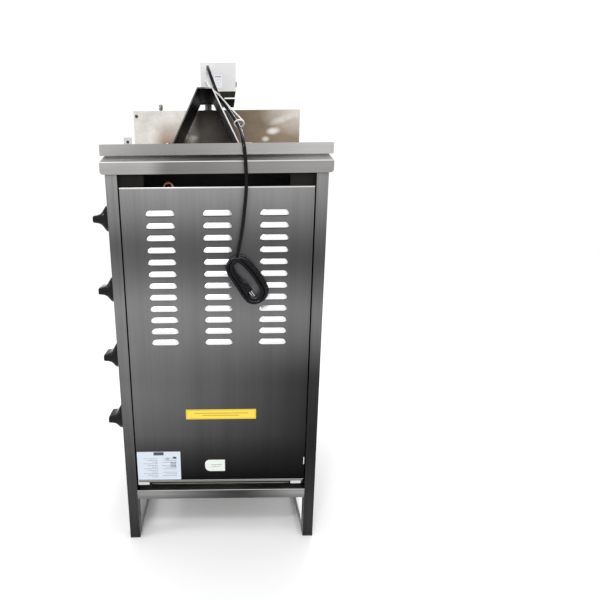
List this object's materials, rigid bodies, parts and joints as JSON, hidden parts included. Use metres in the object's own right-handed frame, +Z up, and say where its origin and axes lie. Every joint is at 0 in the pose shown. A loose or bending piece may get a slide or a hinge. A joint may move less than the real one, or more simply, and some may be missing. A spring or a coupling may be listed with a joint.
{
  "type": "vertical rotisserie broiler",
  "caption": "Floor-standing gas broiler: a motor-driven upright spit turns in front of stacked burners in a narrow steel tower, over a sliding drip pan, with side wings.",
  "frame": {"origin": "on the floor under the middle of the machine", "axes": "+Z up, -Y towards the cook and the spit, +X towards the side with the gas knobs"},
  "size_m": [0.673, 0.606, 1.415],
  "materials": {
    "frame_steel": "satin",
    "sheet_steel": "satin",
    "cover_steel": "satin",
    "polished_steel": "polished",
    "dark_steel": "satin",
    "box_paint": "satin",
    "motor_paint": "satin",
    "gear_steel": "satin",
    "spit_steel": "polished",
    "bronze": "satin",
    "burner_steel": "satin",
    "ceramic": "matte",
    "copper": "satin",
    "valve_brass": "satin",
    "black_pipe": "matte",
    "knob_black": "gloss",
    "bright_trim": "polished",
    "foot_rubber": "matte",
    "cord_black": "satin",
    "gland_plastic": "satin",
    "white_wire": "satin",
    "switch_black": "gloss"
  },
  "bodies": {
    "root": {"bridge_bolts": "bright_trim", "bridge_riser": "dark_steel", "burner_guards": "burner_steel", "burner_housings": "burner_steel", "ceramic_tiles": "ceramic", "control_box": "box_paint", "control_box_lid": "box_paint", "cord_coil": "cord_black", "cord_gland": "gland_plastic", "cord_restraint": "white_wire", "cover_brackets": "sheet_steel", "cover_screws": "bright_trim", "cross_rails": "frame_steel", "crown_frame": "sheet_steel", "drive_plate": "dark_steel", "floor_rails": "frame_steel", "foot_pads": "foot_rubber", "front_legs": "frame_steel", "front_posts": "frame_steel", "front_reflectors": "polished_steel", "gas_manifold": "black_pipe", "gas_valves": "valve_brass", "gear_housing": "box_paint", "gear_housing_lid": "box_paint", "heat_baffle": "burner_steel", "heat_shield": "polished_steel", "injectors": "valve_brass", "knob_bezels": "bright_trim", "motor_bridge": "dark_steel", "motor_can": "motor_paint", "pan_rails": "frame_steel", "pan_runners": "sheet_steel", "pivot_arm": "sheet_steel", "plug": "cord_black", "power_cord": "cord_black", "rear_cover": "cover_steel", "rear_posts": "frame_steel", "shaft_bushes": "bronze", "side_panel_left": "sheet_steel", "side_panel_right": "sheet_steel", "supply_tubes": "copper", "table_top": "sheet_steel", "tower_floor": "sheet_steel", "venturi_tubes": "burner_steel", "wing_hinges": "sheet_steel"},
    "spit": {"output_gear": "gear_steel", "drive_socket": "gear_steel", "spit_rod": "spit_steel", "lower_meat_disc": "spit_steel"},
    "upper_disc": {"upper_meat_disc": "spit_steel", "disc_thumbscrew": "spit_steel"},
    "motor_shaft": {"motor_pinion": "gear_steel"},
    "knob_1": {"control_knob_1": "knob_black"},
    "knob_2": {"control_knob_2": "knob_black"},
    "knob_3": {"control_knob_3": "knob_black"},
    "knob_4": {"control_knob_4": "knob_black"},
    "rocker": {"rocker_switch": "switch_black"},
    "pan": {"drip_pan": "sheet_steel"},
    "left_wing": {"wing_left": "sheet_steel"},
    "right_wing": {"wing_right": "sheet_steel"}
  },
  "joints": [
    {"name": "spit_spin", "type": "hinge", "parent": "root", "child": "spit", "pos_m": [0.027, -0.07, 1], "axis": [0, 0, 1], "continuous": true},
    {"name": "motor_spin", "type": "hinge", "parent": "root", "child": "motor_shaft", "pos_m": [-0.00425, -0.07, 1.33], "axis": [0, 0, 1], "continuous": true},
    {"name": "upper_disc_slide", "type": "slide", "parent": "spit", "child": "upper_disc", "axis": [0, 0, 1], "range_m": [-0.6, 0.33]},
    {"name": "knob_1_turn", "type": "hinge", "parent": "root", "child": "knob_1", "pos_m": [0.29, 0.223, 0.388], "axis": [1, 0, 0], "range_deg": [0, 180]},
    {"name": "knob_2_turn", "type": "hinge", "parent": "root", "child": "knob_2", "pos_m": [0.29, 0.223, 0.5835], "axis": [1, 0, 0], "range_deg": [0, 180]},
    {"name": "knob_3_turn", "type": "hinge", "parent": "root", "child": "knob_3", "pos_m": [0.29, 0.223, 0.779], "axis": [1, 0, 0], "range_deg": [0, 180]},
    {"name": "knob_4_turn", "type": "hinge", "parent": "root", "child": "knob_4", "pos_m": [0.29, 0.223, 0.9745], "axis": [1, 0, 0], "range_deg": [0, 180]},
    {"name": "rocker_tilt", "type": "hinge", "parent": "root", "child": "rocker", "pos_m": [-0.0515, 0.03, 1.3465], "axis": [0, 0, 1], "range_deg": [-10, 10]},
    {"name": "pan_slide", "type": "slide", "parent": "root", "child": "pan", "axis": [0, -1, 0], "range_m": [0, 0.27]},
    {"name": "left_wing_swing", "type": "hinge", "parent": "root", "child": "left_wing", "pos_m": [0.27, 0.05, 0.65], "axis": [0, 0, 1], "range_deg": [-30, 90]},
    {"name": "right_wing_swing", "type": "hinge", "parent": "root", "child": "right_wing", "pos_m": [-0.27, 0.05, 0.65], "axis": [0, 0, -1], "range_deg": [-30, 90]}
  ],
  "couplings": [
    {"joint": "motor_spin", "follows": "spit_spin", "ratio": -3.1667}
  ]
}
